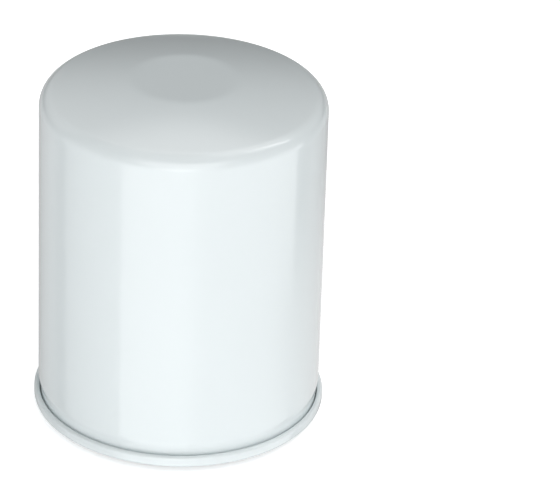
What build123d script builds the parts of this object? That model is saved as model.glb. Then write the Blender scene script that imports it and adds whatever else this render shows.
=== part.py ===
from build123d import *
import os
from math import asin, atan, cos, degrees, pi, radians, sin

# A spin-on oil filter that stands on its sealing gasket. The origin is the centre of the
# gasket's sealing face, +Z runs up the filter's axis to the domed closed end. Millimetres.
# Profiles are drawn as (radius, height) and turned about +Z.

# ---- driving dimensions -------------------------------------------------------------

# gasket: the standard 72 x 62 ring, standing proud of the can's seam
GASKET_OUTER_R = 36.0
GASKET_INNER_R = 31.0
GASKET_HEIGHT = 5.2
GASKET_PROUD = 1.4
GASKET_EDGE = 0.7

# can: drawn sheet steel, a cylinder with a shallow conical crown round a flat disc
CAN_R = 38.0
CAN_SHEET = 0.4
CAN_TOP_Z = 96.84
CROWN_DISC_R = 14.1
CROWN_DISC_BEND = 20.0
CROWN_START_SLOPE = 7.8
CROWN_END_SLOPE = 14.0
SHOULDER_BEND = 4.5
NECK = 0.5
NECK_TOP_Z = 9.0
NECK_HEIGHT = 3.5

# seam: the can's foot and the lid's edge rolled together, with compound between the layers
LID_SHEET = 0.4
SEAM_HEIGHT = 3.35
SEAM_SLACK = 0.25
FOLD_ROOM = 0.001

# lid inside the seam: gasket channel, crest, wide cone, step and narrow cone of the well
CHANNEL_BENDS = [0.6, 0.5]
CHANNEL_CLEARANCE = 0.1
WELL_CREST_R = 28.3
WELL_CREST_Z = 0.9
WELL_STEP_OUTER = (27.3, 5.6)
WELL_STEP_INNER = (26.1, 6.5)
WELL_FOOT = (25.0, 9.35)
WELL_INNER_EDGE = (23.9, 9.45)
WELL_BENDS = [0.9, 0.9, 0.6, 0.6, 0.7]

# base plate: thick pressed steel with a threaded collar and a ring of oil holes
PLATE_SHEET = 2.5
PLATE_R = 36.6
PLATE_FLANGE_INNER_R = 31.5
PLATE_CREST_OUTER_R = 27.0
PLATE_CREST_INNER_R = 24.0
PLATE_CREST_Z = 12.7
PLATE_MIDDLE_R = 16.2
PLATE_MIDDLE_RISE = 0.5
PLATE_BENDS = [2.0, 2.0, 2.2, 4.0]
STUD_THREAD_R = 10.0
STUD_THREAD_PITCH = 1.5
THREAD_DEPTH = 0.541266 * STUD_THREAD_PITCH
COLLAR_WALL = 2.4
COLLAR_ROOT = 1.2
COLLAR_TOP_Z = 12.8
BORE_MOUTH_Z = 3.8
BORE_MOUTH_ROUND = 1.2
OIL_HOLES = 8
OIL_HOLE_R = 3.5
OIL_HOLE_CIRCLE_R = 18.2

# filter element: a pleated paper ring glued between two end caps
CAP_SHEET = 0.5
CAP_R = 34.0
CAP_RIM = 4.0
CAP_BEND = 0.8
CAP_GUIDE_CLEARANCE = 0.4
POTTING_HEIGHT = 2.0
POTTING_CLEARANCE = 0.6
ELEMENT_BOTTOM_Z = 16.4
ELEMENT_TOP_Z = 82.4
TUBE_R = 15.6
TUBE_SHEET = 0.4
TUBE_HOLE_R = 2.0
TUBE_HOLES_ROUND = 10
TUBE_HOLE_ROWS = 8
PLEATS = 54
PLEAT_INNER_R = 16.6
PLEAT_OUTER_R = 32.4
PLEAT_TIP_WIDTH = 1.5
PLEAT_BENDS = [0.4, 0.7, 0.7, 0.4]
PAPER = 0.5
CLIP_SHEET = 0.3
CLIP_DEPTH = 3.6
CLIP_BEND = 0.8

# bypass valve, hung in the upper end cap
CAGE_R = 10.0
CAGE_SHEET = 0.6
CAGE_BOTTOM_Z = 66.4
CAGE_BEND = 0.5
CAGE_LIP = 1.6
CAGE_FLANGE_R = 13.0
CAGE_WINDOWS = 4
CAGE_WINDOW_Z = 70.0
CAGE_WINDOW_WIDTH = 8.0
CAGE_WINDOW_HEIGHT = 7.0
SEAT_SHEET = 0.8
SEAT_HOLE_R = 6.0
POPPET_R = 8.4
POPPET_HEIGHT = 1.1
STEM_R = 2.2
STEM_BOTTOM_Z = 65.4
STEM_CLEARANCE = 0.4
SEAL_HEIGHT = 1.0
SEAL_INNER_R = 3.0
SEAL_SET_BACK = 0.4
SEAL_PROUD = 0.1
BYPASS_COIL_R = 6.2
BYPASS_WIRE_R = 0.5
BYPASS_TURNS = 6

# leaf spring that holds the element down
LEAF_SHEET = 0.8
LEAF_ARMS = 4
LEAF_ARM_WIDTH = 9.0
LEAF_INNER_R = 7.6
LEAF_OUTER_R = 14.6
LEAF_KNEE_R = 24.0
LEAF_TIP_R = 27.0
LEAF_TIP_DROP = 0.5
LEAF_OVERLAP = 2.0
LEAF_BENDS = [4.0, 3.0]

# anti-drain valve: a rubber skirt over the oil holes
VALVE_NECK_R = 14.3
VALVE_SKIRT = 1.2
VALVE_GRIP = 2.2
VALVE_BORE_LAP = 0.9
VALVE_SHOULDER_DROP = 1.4
VALVE_SHOULDER_R = 17.0
VALVE_LIP_START_R = 24.0
VALVE_LIP_R = 26.4
VALVE_BENDS = [3.0, 3.0]

# clearance beside a plain face, in the inside corner of a bend, and over a spring's tip
GAP = 0.05
BEND_ROOM = 0.3
TIP_ROOM = 0.2

# ---- heights and radii that follow from them ----------------------------------------

START_SINE = sin(radians(CROWN_START_SLOPE))
END_SINE = sin(radians(CROWN_END_SLOPE))
CROWN_BEND_START_R = CROWN_DISC_R - CROWN_DISC_BEND * START_SINE / 2
CROWN_BEND_END_R = CROWN_DISC_R + CROWN_DISC_BEND * START_SINE / 2
SHOULDER_START_R = CAN_R - SHOULDER_BEND * (1 - END_SINE)
CROWN_ARC_R = (SHOULDER_START_R - CROWN_BEND_END_R) / (END_SINE - START_SINE)
CROWN_BEND_DROP = CROWN_DISC_BEND * (1 - cos(radians(CROWN_START_SLOPE)))

NECK_TURN = 2 * atan(NECK / NECK_HEIGHT)
NECK_BEND = NECK_HEIGHT / (2 * sin(NECK_TURN))
FOOT_R = CAN_R - NECK
FOLD_WIDTH = LID_SHEET + SEAM_SLACK
HOOK_INNER_R = FOOT_R + FOLD_WIDTH
HOOK_OUTER_R = HOOK_INNER_R + CAN_SHEET
SEAM_R = HOOK_OUTER_R + SEAM_SLACK + LID_SHEET
SEAM_WALL_R = SEAM_R - LID_SHEET / 2
CHUCK_WALL_R = FOOT_R - CAN_SHEET - LID_SHEET / 2
SEAM_BEND = (SEAM_WALL_R - CHUCK_WALL_R) / 2 - FOLD_ROOM
SEAM_BOTTOM_Z = GASKET_PROUD
SEAM_TOP_Z = SEAM_BOTTOM_Z + SEAM_HEIGHT
HOOK_TOP_Z = SEAM_TOP_Z - 2 * LID_SHEET
FOLD_Z = SEAM_BOTTOM_Z + LID_SHEET / 2 + SEAM_BEND + FOLD_ROOM
CHANNEL_FLOOR_Z = GASKET_HEIGHT
PLATE_SEAT_Z = CHANNEL_FLOOR_Z + LID_SHEET
BORE_R = STUD_THREAD_R - THREAD_DEPTH
COLLAR_R = BORE_R + COLLAR_WALL
CAP_INSIDE_BOTTOM_Z = ELEMENT_BOTTOM_Z + CAP_SHEET
CAP_INSIDE_TOP_Z = ELEMENT_TOP_Z - CAP_SHEET
MEDIA_BOTTOM_Z = CAP_INSIDE_BOTTOM_Z + POTTING_HEIGHT
MEDIA_TOP_Z = CAP_INSIDE_TOP_Z - POTTING_HEIGHT
CAGE_TOP_Z = ELEMENT_TOP_Z + CAGE_SHEET
SEAT_TOP_Z = CAGE_TOP_Z + SEAT_SHEET
POPPET_TOP_Z = CAGE_TOP_Z - SEAL_HEIGHT
POPPET_BOTTOM_Z = POPPET_TOP_Z - POPPET_HEIGHT
RETAINER_BOTTOM_Z = CAGE_BOTTOM_Z + CAGE_SHEET
RETAINER_TOP_Z = RETAINER_BOTTOM_Z + CAGE_SHEET


# ---- helpers ------------------------------------------------------------------------

def turned(section):
    """The solid made by turning a (radius, height) section about the axis."""
    return revolve(Plane.XZ * section, Axis.Z)


def pressed(route, bends, sheet):
    """A strip of sheet metal along a (radius, height) route, with one bend per inner corner."""
    return trace(FilletPolyline(*route, radius=bends), line_width=sheet)


STANDING = (Align.CENTER, Align.CENTER, Align.MIN)


def ring(inner_r, outer_r, bottom_z, top_z):
    """A plain ring, or a disc when the inner radius is 0."""
    body = Pos(0, 0, bottom_z) * Cylinder(outer_r, top_z - bottom_z, align=STANDING)
    if inner_r > 0:
        body -= Pos(0, 0, bottom_z) * Cylinder(inner_r, top_z - bottom_z, align=STANDING)
    return body


def around(count, shape):
    """Copies of a shape, spaced evenly about the axis."""
    return [Rot(0, 0, 360 * step / count) * shape for step in range(count)]


def save(name, shape):
    """One STEP file per piece."""
    shape.label = name
    export_step(shape, f"parts/{name}.step")


# ---- can ----------------------------------------------------------------------------

def crown_line(inset):
    """The crown and shoulder's outer line, or one that runs a given distance inside it."""
    flat = Line((0, CAN_TOP_Z - inset), (CROWN_BEND_START_R, CAN_TOP_Z - inset))
    bend = JernArc(flat @ 1, flat % 1, CROWN_DISC_BEND - inset, -CROWN_START_SLOPE)
    cone = JernArc(bend @ 1, bend % 1, CROWN_ARC_R - inset, CROWN_START_SLOPE - CROWN_END_SLOPE)
    shoulder = JernArc(cone @ 1, cone % 1, SHOULDER_BEND - inset, CROWN_END_SLOPE - 90)
    return [flat, bend, cone, shoulder]


def wall_line(start, inset):
    """The wall's line from the end of the shoulder down to the fold, necked in above the seam."""
    turn = degrees(NECK_TURN)
    wall = Line(start, (CAN_R - inset, NECK_TOP_Z))
    upper = JernArc(wall @ 1, wall % 1, NECK_BEND - inset, -turn)
    lower = JernArc(upper @ 1, upper % 1, NECK_BEND + inset, turn)
    foot = Line(lower @ 1, (FOOT_R - inset, FOLD_Z))
    return [wall, upper, lower, foot]


def make_can_shell():
    """Dome, shoulder, necked wall and the hook that the seam rolls outward at the foot."""
    outer = crown_line(0)
    inner = crown_line(CAN_SHEET)
    axis = Line(outer[0] @ 0, inner[0] @ 0)
    outer += wall_line(outer[-1] @ 1, 0)
    inner += wall_line(inner[-1] @ 1, CAN_SHEET)
    inner_turn = JernArc(outer[-1] @ 1, (0, -1), FOLD_WIDTH / 2, 180)
    outer_turn = JernArc(inner[-1] @ 1, (0, -1), FOLD_WIDTH / 2 + CAN_SHEET, 180)
    hook_inside = Line(inner_turn @ 1, (HOOK_INNER_R, HOOK_TOP_Z))
    hook_outside = Line(outer_turn @ 1, (HOOK_OUTER_R, HOOK_TOP_Z))
    hook_tip = Line(hook_inside @ 1, hook_outside @ 1)
    outline = outer + inner + [inner_turn, outer_turn, hook_inside, hook_outside, hook_tip, axis]
    return turned(make_face(Curve() + outline))


def crown_inside_z(radius):
    """Height of the dome's inner face at a radius on the crown."""
    slope = asin(START_SINE + (radius - CROWN_BEND_END_R) / CROWN_ARC_R)
    drop = CROWN_BEND_DROP + CROWN_ARC_R * (cos(radians(CROWN_START_SLOPE)) - cos(slope))
    return CAN_TOP_Z - drop - CAN_SHEET / cos(slope)


# ---- seam lid, sealing compound and gasket --------------------------------------------

def make_seam_lid():
    """Thin lid: cover hook, seaming wall, chuck wall, gasket channel and stepped well wall."""
    half = LID_SHEET / 2
    hook_r = FOOT_R + FOLD_WIDTH / 2
    top_z = SEAM_TOP_Z - half
    bottom_z = SEAM_BOTTOM_Z + half
    floor_z = CHANNEL_FLOOR_Z + half
    inner_wall_r = GASKET_INNER_R - CHANNEL_CLEARANCE - half
    crest_z = WELL_CREST_Z + half
    route = [
        (hook_r, FOLD_Z),
        (hook_r, top_z),
        (SEAM_WALL_R, top_z),
        (SEAM_WALL_R, bottom_z),
        (CHUCK_WALL_R, bottom_z),
        (CHUCK_WALL_R, floor_z),
        (inner_wall_r, floor_z),
        (inner_wall_r, crest_z),
        (WELL_CREST_R, crest_z),
        WELL_STEP_OUTER,
        WELL_STEP_INNER,
        WELL_FOOT,
        WELL_INNER_EDGE,
    ]
    hook_bend = (SEAM_WALL_R - hook_r) / 2 - FOLD_ROOM
    bends = [hook_bend, hook_bend, SEAM_BEND, SEAM_BEND] + CHANNEL_BENDS + WELL_BENDS
    return turned(pressed(route, bends, LID_SHEET))


def make_seam_sealant():
    """Bead of sealing compound over the tip of the can's hook, inside the rolled seam."""
    inner_r = HOOK_INNER_R + GAP
    return ring(inner_r, HOOK_OUTER_R - GAP, HOOK_TOP_Z, HOOK_TOP_Z + LID_SHEET / 2)


def make_sealing_gasket():
    """Moulded rubber ring with rounded edges, seated on the channel floor."""
    width = GASKET_OUTER_R - GASKET_INNER_R
    middle_r = (GASKET_OUTER_R + GASKET_INNER_R) / 2
    section = Pos(middle_r, GASKET_HEIGHT / 2) * RectangleRounded(width, GASKET_HEIGHT, GASKET_EDGE)
    return turned(section)


# ---- base plate -----------------------------------------------------------------------

def make_base_plate():
    """Pressed plate: flange, crest, bulged middle with oil holes, and the stud's collar."""
    half = PLATE_SHEET / 2
    flange_z = PLATE_SEAT_Z + half
    crest_z = PLATE_CREST_Z - half
    middle_z = BORE_MOUTH_Z + PLATE_MIDDLE_RISE + half
    route = [
        (PLATE_R, flange_z),
        (PLATE_FLANGE_INNER_R, flange_z),
        (PLATE_CREST_OUTER_R, crest_z),
        (PLATE_CREST_INNER_R, crest_z),
        (PLATE_MIDDLE_R, middle_z),
        (COLLAR_R - half, middle_z),
    ]
    plate = turned(pressed(route, PLATE_BENDS, PLATE_SHEET))
    collar = ring(BORE_R, COLLAR_R, BORE_MOUTH_Z, COLLAR_TOP_Z)
    web = ring(BORE_R, COLLAR_R + COLLAR_ROOT, BORE_MOUTH_Z, BORE_MOUTH_Z + PLATE_SHEET)
    bore = ring(0, BORE_R, 0, COLLAR_TOP_Z)
    mouth = turned(make_mouth_round())
    holes = around(OIL_HOLES, Pos(OIL_HOLE_CIRCLE_R, 0, 0) * ring(0, OIL_HOLE_R, 0, COLLAR_TOP_Z))
    return plate + collar + web - bore - mouth - holes


def make_mouth_round():
    """Section of what is taken off the bore's mouth to round its edge."""
    edge = Vector(BORE_R, BORE_MOUTH_Z)
    arc = JernArc(edge + (0, BORE_MOUTH_ROUND), (0, -1), BORE_MOUTH_ROUND, 90)
    below = BORE_MOUTH_Z - 1
    return make_face(arc + Polyline(
        arc @ 1,
        (BORE_R + BORE_MOUTH_ROUND, below),
        (BORE_R - 1, below),
        (BORE_R - 1, BORE_MOUTH_Z + BORE_MOUTH_ROUND),
        arc @ 0,
    ))


# ---- anti-drain valve -------------------------------------------------------------------

def make_anti_drain_valve():
    """Rubber diaphragm: a neck gripping the collar and a skirt whose lip closes on the crest."""
    inner_r = COLLAR_R + GAP
    neck = ring(inner_r, VALVE_NECK_R, COLLAR_TOP_Z - VALVE_GRIP, ELEMENT_BOTTOM_Z)
    seat = ring(BORE_R + VALVE_BORE_LAP, VALVE_NECK_R, COLLAR_TOP_Z, ELEMENT_BOTTOM_Z)
    shoulder_z = ELEMENT_BOTTOM_Z - VALVE_SHOULDER_DROP
    lip_z = PLATE_CREST_Z + VALVE_SKIRT / 2
    route = [
        (VALVE_NECK_R - VALVE_SKIRT / 2, shoulder_z),
        (VALVE_SHOULDER_R, shoulder_z),
        (VALVE_LIP_START_R, lip_z),
        (VALVE_LIP_R, lip_z),
    ]
    return neck + seat + turned(pressed(route, VALVE_BENDS, VALVE_SKIRT))


# ---- filter element -----------------------------------------------------------------------

def make_lower_end_cap():
    """Dished ring with an outer rim and an inner guide rim, both turned up."""
    mid_z = ELEMENT_BOTTOM_Z + CAP_SHEET / 2
    route = [
        (CAP_R - CAP_SHEET / 2, ELEMENT_BOTTOM_Z + CAP_RIM),
        (CAP_R - CAP_SHEET / 2, mid_z),
        (COLLAR_R + CAP_GUIDE_CLEARANCE, mid_z),
        (COLLAR_R + CAP_GUIDE_CLEARANCE, ELEMENT_BOTTOM_Z + CAP_RIM),
    ]
    return turned(pressed(route, [CAP_BEND, CAP_BEND], CAP_SHEET))


def make_upper_end_cap():
    """Dished ring with an outer rim turned down and a hole for the bypass cage."""
    mid_z = ELEMENT_TOP_Z - CAP_SHEET / 2
    route = [
        (CAP_R - CAP_SHEET / 2, ELEMENT_TOP_Z - CAP_RIM),
        (CAP_R - CAP_SHEET / 2, mid_z),
        (CAGE_R + BEND_ROOM, mid_z),
    ]
    return turned(pressed(route, [CAP_BEND], CAP_SHEET))


def make_potting(bottom_z):
    """Ring of set adhesive that bonds the pleats and tube into an end cap."""
    outer_r = CAP_R - CAP_SHEET - POTTING_CLEARANCE
    return ring(TUBE_R + GAP, outer_r, bottom_z, bottom_z + POTTING_HEIGHT)


def make_centre_tube():
    """Perforated tube that stops the pleats collapsing inwards."""
    tube = ring(TUBE_R - TUBE_SHEET, TUBE_R, CAP_INSIDE_BOTTOM_Z, CAP_INSIDE_TOP_Z)
    row_step = (MEDIA_TOP_Z - MEDIA_BOTTOM_Z) / TUBE_HOLE_ROWS
    first_z = MEDIA_BOTTOM_Z + row_step / 2
    punch = Rot(0, 90, 0) * Cylinder(TUBE_HOLE_R, 2 * TUBE_R, align=STANDING)
    punches = []
    for row in range(TUBE_HOLE_ROWS):
        stagger = (row % 2) * 180 / TUBE_HOLES_ROUND
        lifted = Pos(0, 0, first_z + row * row_step) * Rot(0, 0, stagger)
        punches += [lifted * copy for copy in around(TUBE_HOLES_ROUND, punch)]
    return tube - punches


def polar(radius, angle):
    """The point at a radius and an angle in radians."""
    return (radius * cos(angle), radius * sin(angle))


def make_pleated_media():
    """Folded paper: one pleat with square-shouldered folds, repeated round the tube."""
    half_pitch = pi / PLEATS
    fold = half_pitch / 2
    tip = PLEAT_TIP_WIDTH / 2 / PLEAT_OUTER_R
    route = [
        polar(PLEAT_INNER_R, -half_pitch),
        polar(PLEAT_INNER_R / cos(fold), fold - half_pitch),
        polar(PLEAT_OUTER_R, -tip),
        polar(PLEAT_OUTER_R, tip),
        polar(PLEAT_INNER_R / cos(fold), half_pitch - fold),
        polar(PLEAT_INNER_R, half_pitch),
    ]
    pleat = trace(FilletPolyline(*route, radius=PLEAT_BENDS), line_width=PAPER)
    section = Sketch() + around(PLEATS, pleat)
    return Pos(0, 0, MEDIA_BOTTOM_Z) * extrude(section, MEDIA_TOP_Z - MEDIA_BOTTOM_Z)


def make_media_seam_clip():
    """Folded metal strip that grips the pleat in which the paper's two ends meet."""
    clear = (PAPER + CLIP_SHEET) / 2 + GAP
    reach = PLEAT_TIP_WIDTH / 2 + clear
    route = [
        (PLEAT_OUTER_R - CLIP_DEPTH, -reach),
        (PLEAT_OUTER_R + clear, -reach),
        (PLEAT_OUTER_R + clear, reach),
        (PLEAT_OUTER_R - CLIP_DEPTH, reach),
    ]
    section = trace(FilletPolyline(*route, radius=[CLIP_BEND, CLIP_BEND]), line_width=CLIP_SHEET)
    return Pos(0, 0, MEDIA_BOTTOM_Z) * extrude(section, MEDIA_TOP_Z - MEDIA_BOTTOM_Z)


# ---- bypass valve ---------------------------------------------------------------------------

def make_bypass_cage():
    """Cup hung from its flange in the upper cap, with windows in its wall."""
    half = CAGE_SHEET / 2
    wall_r = CAGE_R - half
    route = [
        (CAGE_FLANGE_R, ELEMENT_TOP_Z + half),
        (wall_r, ELEMENT_TOP_Z + half),
        (wall_r, CAGE_BOTTOM_Z + half),
        (CAGE_R - CAGE_LIP, CAGE_BOTTOM_Z + half),
    ]
    cup = turned(pressed(route, [CAGE_BEND, CAGE_BEND], CAGE_SHEET))
    outwards = (Align.MIN, Align.CENTER, Align.MIN)
    window = Box(2 * CAGE_R, CAGE_WINDOW_WIDTH, CAGE_WINDOW_HEIGHT, align=outwards)
    return cup - around(CAGE_WINDOWS, Pos(0, 0, CAGE_WINDOW_Z) * window)


def make_bypass_retainer():
    """Washer on the cage's bottom lip: the spring stands on it and the stem slides in it."""
    outer_r = CAGE_R - CAGE_SHEET - BEND_ROOM
    return ring(STEM_R + STEM_CLEARANCE, outer_r, RETAINER_BOTTOM_Z, RETAINER_TOP_Z)


def make_bypass_seat_plate():
    """Ring over the cage's flange, with the hole that the poppet closes from below."""
    return ring(SEAT_HOLE_R, CAGE_FLANGE_R, CAGE_TOP_Z, SEAT_TOP_Z)


def make_bypass_poppet():
    """Disc with a boss for the seal and a guide stem."""
    disc = ring(0, POPPET_R, POPPET_BOTTOM_Z, POPPET_TOP_Z)
    boss = ring(0, SEAL_INNER_R - GAP, POPPET_TOP_Z, POPPET_TOP_Z + SEAL_HEIGHT - SEAL_PROUD)
    stem = ring(0, STEM_R, STEM_BOTTOM_Z, POPPET_BOTTOM_Z)
    return disc + boss + stem


def make_bypass_seal():
    """Rubber ring on the poppet, closed against the seat plate."""
    outer_r = POPPET_R - SEAL_SET_BACK
    return ring(SEAL_INNER_R, outer_r, POPPET_TOP_Z, POPPET_TOP_Z + SEAL_HEIGHT)


def make_bypass_spring():
    """Coil between the retainer and the poppet."""
    bottom_z = RETAINER_TOP_Z + BYPASS_WIRE_R + GAP
    height = POPPET_BOTTOM_Z - RETAINER_TOP_Z - 2 * BYPASS_WIRE_R - 2 * GAP
    path = Pos(0, 0, bottom_z) * Helix(height / BYPASS_TURNS, height, BYPASS_COIL_R)
    wire = Plane(origin=path @ 0, z_dir=path % 0) * Circle(BYPASS_WIRE_R)
    return sweep(wire, path, is_frenet=True)


# ---- hold-down spring -----------------------------------------------------------------------

def make_element_spring():
    """Flat ring on the seat plate with arms that rise and bear on the inside of the dome."""
    half = LEAF_SHEET / 2
    base_z = SEAT_TOP_Z + half
    clear = half + TIP_ROOM
    route = [
        (LEAF_INNER_R + LEAF_OVERLAP, base_z),
        (LEAF_OUTER_R + LEAF_OVERLAP, base_z),
        (LEAF_KNEE_R, crown_inside_z(LEAF_KNEE_R) - clear),
        (LEAF_TIP_R, crown_inside_z(LEAF_TIP_R) - clear - LEAF_TIP_DROP),
    ]
    strip = pressed(route, LEAF_BENDS, LEAF_SHEET)
    arm = extrude(Plane.XZ * strip, LEAF_ARM_WIDTH / 2, both=True)
    base = ring(LEAF_INNER_R, LEAF_OUTER_R, SEAT_TOP_Z, SEAT_TOP_Z + LEAF_SHEET)
    return base + around(LEAF_ARMS, arm)


def main():
    """Write every piece."""
    os.makedirs("parts", exist_ok=True)
    save("can_shell", make_can_shell())
    save("seam_lid", make_seam_lid())
    save("seam_sealant", make_seam_sealant())
    save("sealing_gasket", make_sealing_gasket())
    save("base_plate", make_base_plate())
    save("anti_drain_valve", make_anti_drain_valve())
    save("lower_end_cap", make_lower_end_cap())
    save("upper_end_cap", make_upper_end_cap())
    save("lower_potting", make_potting(CAP_INSIDE_BOTTOM_Z))
    save("upper_potting", make_potting(MEDIA_TOP_Z))
    save("centre_tube", make_centre_tube())
    save("pleated_media", make_pleated_media())
    save("media_seam_clip", make_media_seam_clip())
    save("bypass_cage", make_bypass_cage())
    save("bypass_retainer", make_bypass_retainer())
    save("bypass_seat_plate", make_bypass_seat_plate())
    save("bypass_poppet", make_bypass_poppet())
    save("bypass_seal", make_bypass_seal())
    save("bypass_spring", make_bypass_spring())
    save("element_spring", make_element_spring())


main()
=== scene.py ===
import math

import bmesh
import bpy
import numpy as np
from mathutils import Matrix, Vector


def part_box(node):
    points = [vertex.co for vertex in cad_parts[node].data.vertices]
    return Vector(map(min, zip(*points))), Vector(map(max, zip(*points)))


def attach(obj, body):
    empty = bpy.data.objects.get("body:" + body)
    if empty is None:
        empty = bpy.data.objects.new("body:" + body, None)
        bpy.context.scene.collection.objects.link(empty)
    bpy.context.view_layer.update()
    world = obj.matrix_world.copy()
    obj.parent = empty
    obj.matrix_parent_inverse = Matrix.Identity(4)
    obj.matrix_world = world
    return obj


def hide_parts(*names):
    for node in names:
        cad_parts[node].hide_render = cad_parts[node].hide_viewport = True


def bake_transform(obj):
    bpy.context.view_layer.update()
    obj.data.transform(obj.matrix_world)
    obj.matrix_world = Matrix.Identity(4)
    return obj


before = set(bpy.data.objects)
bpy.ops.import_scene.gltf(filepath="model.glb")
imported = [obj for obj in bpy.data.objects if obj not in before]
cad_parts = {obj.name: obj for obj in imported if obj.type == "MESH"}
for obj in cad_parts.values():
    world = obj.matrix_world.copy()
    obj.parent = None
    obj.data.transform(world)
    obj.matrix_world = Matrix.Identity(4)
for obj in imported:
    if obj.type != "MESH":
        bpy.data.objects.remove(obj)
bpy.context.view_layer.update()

# A spin-on oil filter that stands on its gasket, dome up. The frame is in metres with the
# gasket's face at z = 0 and the axis on z; profiles below are (radius, height) in millimetres.

MM = 0.001

# ---- sizes, from the frame where it holds them -----------------------------------------------


def node_radius(node):
    """Outer radius of a round CAD node, in millimetres."""
    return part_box(node)[1].x / MM


def node_heights(node):
    """Lowest and highest point of a CAD node, in millimetres."""
    low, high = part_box(node)
    return low.z / MM, high.z / MM


CAN_SHEET = 0.4
LID_SHEET = 0.4
SEAM_SLACK = 0.25
NECK = 0.5
NECK_TOP_Z = 9.0
NECK_HEIGHT = 3.5
SEAM_R = node_radius("seam_lid")
HOOK_OUTER_R = SEAM_R - LID_SHEET - SEAM_SLACK
HOOK_INNER_R = HOOK_OUTER_R - CAN_SHEET
FOLD_WIDTH = LID_SHEET + SEAM_SLACK
FOOT_R = HOOK_INNER_R - FOLD_WIDTH
CAN_R = FOOT_R + NECK
CAN_TOP_Z = node_heights("can_shell")[1]
SEAM_BOTTOM_Z = 1.4
SEAM_TOP_Z = 4.75
SEAM_WALL_R = SEAM_R - LID_SHEET / 2
CHUCK_WALL_R = FOOT_R - CAN_SHEET - LID_SHEET / 2
SEAM_BEND = (SEAM_WALL_R - CHUCK_WALL_R) / 2
FOLD_Z = SEAM_BOTTOM_Z + LID_SHEET / 2 + SEAM_BEND
GASKET_R = node_radius("sealing_gasket")
GASKET_WIDTH = 5.0
GASKET_TOP_Z = node_heights("sealing_gasket")[1]
GASKET_EDGE = 0.7
GASKET_STEP = 0.6
PLATE_R = node_radius("base_plate")
PLATE_SHEET = 2.5
BORE_MOUTH_Z, COLLAR_TOP_Z = node_heights("base_plate")
BORE_MOUTH_ROUND = 1.2
STUD_THREAD_R = 10.0
THREAD_PITCH = 1.5
ISO_DEPTH_PER_PITCH = 0.541266
THREAD_DEPTH = ISO_DEPTH_PER_PITCH * THREAD_PITCH
BORE_R = STUD_THREAD_R - THREAD_DEPTH
COLLAR_WALL = 2.4
COLLAR_R = BORE_R + COLLAR_WALL
OIL_HOLES = 8
OIL_HOLE_R = 3.5
OIL_HOLE_CIRCLE_R = 18.2
PLATE_TOP_Z = 12.7
VALVE_TOP_Z = node_heights("anti_drain_valve")[1]
VALVE_SKIRT = 1.2
AROUND = 256

# ---- profile and mesh helpers ----------------------------------------------------------------


def turned_by(vector, angle):
    """A flat vector turned left by an angle."""
    return Matrix.Rotation(angle, 2) @ vector


def arc(start, heading, radius, turn, count):
    """Points of an arc that leaves start along heading and turns left by an angle."""
    side = math.copysign(radius, turn)
    centre = start + Vector((-heading.y, heading.x)) * side
    return [centre + turned_by(start - centre, turn * k / count) for k in range(1, count + 1)]


def route_with_bends(points, bends, step=7.0):
    """The route's points with each inner corner rounded by an arc of the given radius."""
    points = [Vector(p) for p in points]
    line = [points[0]]
    for before, corner, after, bend in zip(points, points[1:], points[2:], bends):
        a = (before - corner).normalized()
        b = (after - corner).normalized()
        half = a.angle(b) / 2
        reach = bend / math.tan(half)
        centre = corner + (a + b).normalized() * bend / math.sin(half)
        start = corner + a * reach - centre
        end = corner + b * reach - centre
        sweep = math.atan2(start.x * end.y - start.y * end.x, start.dot(end))
        count = max(2, math.ceil(math.degrees(abs(sweep)) / step))
        line += [centre + turned_by(start, sweep * k / count) for k in range(count + 1)]
    line.append(points[-1])
    return without_repeats(line)


def without_repeats(line, closest=0.004):
    """The line without points that nearly coincide with the one before."""
    out = [line[0]]
    for point in line[1:]:
        if (point - out[-1]).length > closest:
            out.append(point)
    return out


def with_long_runs_split(line, longest):
    """The same line with extra points on any run longer than the given length."""
    out = [line[0]]
    for a, b in zip(line, line[1:]):
        count = max(1, math.ceil((b - a).length / longest))
        out += [a.lerp(b, k / count) for k in range(1, count + 1)]
    return out


def shifted(line, distance):
    """The line moved sideways, to its left for a positive distance."""
    out = []
    for k, point in enumerate(line):
        ahead = line[min(k + 1, len(line) - 1)]
        behind = line[max(k - 1, 0)]
        along = (ahead - behind).normalized()
        out.append(point + Vector((-along.y, along.x)) * distance)
    return out


def rounded_end(a, b, count=4):
    """Points of a half circle that joins two sides of a sheet, bulging to the left of a to b."""
    centre = (a + b) / 2
    arm = a - centre
    return [centre + turned_by(arm, -math.pi * k / count) for k in range(1, count)]


def sheet_outline(line, thickness):
    """Closed outline of a sheet that follows a line, with rounded edges."""
    left = shifted(line, thickness / 2)
    right = shifted(line, -thickness / 2)
    return left + rounded_end(left[-1], right[-1]) + right[::-1] + rounded_end(right[0], left[0])


def turn_grid(outline, angles, wave=None):
    """Rows of points: each outline point turned through all the angles, in millimetres."""
    rows = []
    for point in outline:
        r = np.full(len(angles), point[0])
        z = np.full(len(angles), point[1])
        if wave:
            r = wave(r, z, angles)
        rows.append(np.stack([r * np.cos(angles), r * np.sin(angles), z], axis=1))
    return np.array(rows)


def grid_faces(rows, columns, first, wrap_rows):
    """Quads of a grid that closes round its columns, and round its rows if asked."""
    faces = []
    for i in range(rows if wrap_rows else rows - 1):
        a = first + i * columns
        b = first + ((i + 1) % rows) * columns
        for j in range(columns):
            n = (j + 1) % columns
            faces.append((a + j, a + n, b + n, b + j))
    return faces


def build(name, points, faces, *materials):
    """A smooth-shaded object from points in millimetres."""
    mesh = bpy.data.meshes.new(name)
    mesh.from_pydata([tuple(p * MM) for p in np.asarray(points, float)], [], faces)
    mesh.validate()
    mesh.update()
    for material in materials:
        mesh.materials.append(material)
    mesh.shade_smooth()
    piece = bpy.data.objects.new(name, mesh)
    bpy.context.scene.collection.objects.link(piece)
    return piece


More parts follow.
